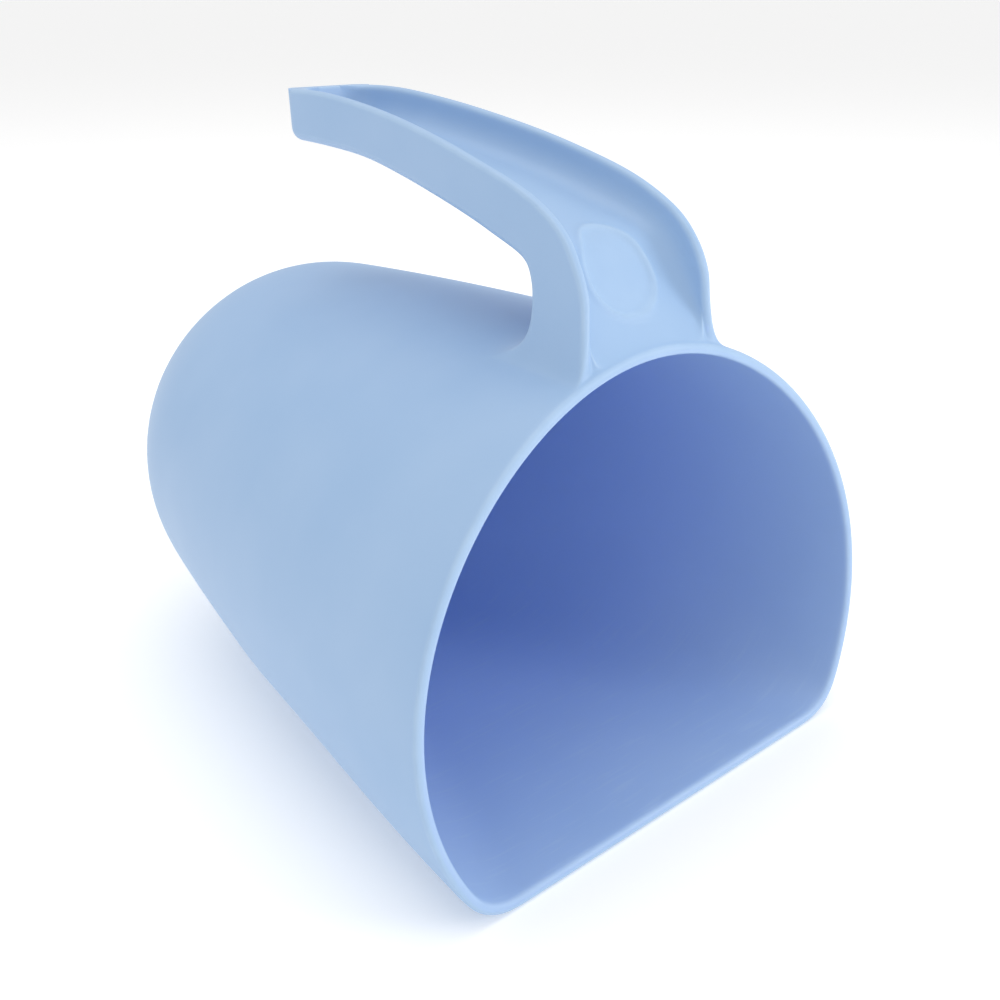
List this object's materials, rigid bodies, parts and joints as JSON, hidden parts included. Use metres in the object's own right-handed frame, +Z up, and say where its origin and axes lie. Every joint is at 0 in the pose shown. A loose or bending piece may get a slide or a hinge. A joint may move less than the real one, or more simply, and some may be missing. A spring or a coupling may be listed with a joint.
{
  "type": "feed scoop",
  "caption": "Moulded plastic scoop with a round flat-floored bowl, a domed closed end and an open-top channel handle that curves back over the bowl.",
  "frame": {"origin": "centre of the footprint of the whole scoop, on the underside of its flat floor", "axes": "+Z up from the floor, +Y from the mouth to the closed end, +X across the scoop; the middle plane is X = 0"},
  "size_m": [0.1702, 0.2201, 0.178],
  "materials": {
    "blue_plastic": "satin, self-coloured polypropylene, pale blue"
  },
  "bodies": {
    "root": {"bowl_wall": "blue_plastic", "bowl_floor": "blue_plastic", "bowl_back": "blue_plastic", "handle_root": "blue_plastic", "handle_grip": "blue_plastic"}
  },
  "joints": []
}
